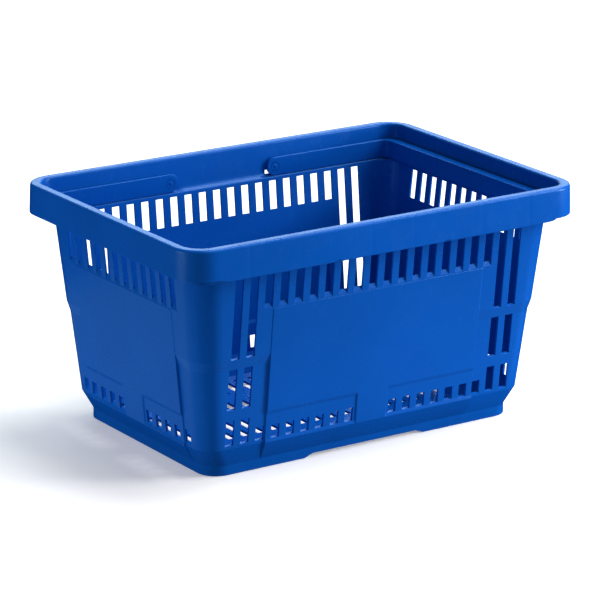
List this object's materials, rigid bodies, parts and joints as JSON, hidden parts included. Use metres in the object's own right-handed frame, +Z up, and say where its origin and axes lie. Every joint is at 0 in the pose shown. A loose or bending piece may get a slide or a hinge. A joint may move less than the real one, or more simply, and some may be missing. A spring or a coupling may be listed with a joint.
{
  "type": "shopping basket",
  "caption": "Rectangular moulded hand shopping basket with slotted sides, lattice floor, turned-down rim and folding bail handles.",
  "frame": {"origin": "centre of the base on the plane the basket stands on", "axes": "+X along the long side, +Y along the short side away from the front wall, +Z up out of the mouth"},
  "size_m": [0.4338, 0.302, 0.228],
  "materials": {
    "basket_plastic": "semi-gloss moulded",
    "handle_plastic": "semi-gloss moulded",
    "pin_plastic": "semi-gloss moulded"
  },
  "bodies": {
    "basket": {"basket_body": "basket_plastic", "pivot_pin_front_left": "pin_plastic", "pivot_pin_front_right": "pin_plastic", "pivot_pin_back_left": "pin_plastic", "pivot_pin_back_right": "pin_plastic"},
    "handle_left": {"handle_left": "handle_plastic"},
    "handle_right": {"handle_right": "handle_plastic"}
  },
  "joints": [
    {"name": "handle_right_fold", "type": "hinge", "parent": "basket", "child": "handle_right", "pos_m": [0.06, 0, 0.2045], "axis": [0, -1, 0], "range_deg": [0, 111]},
    {"name": "handle_left_fold", "type": "hinge", "parent": "basket", "child": "handle_left", "pos_m": [-0.06, 0, 0.2045], "axis": [0, 1, 0], "range_deg": [0, 111]}
  ]
}
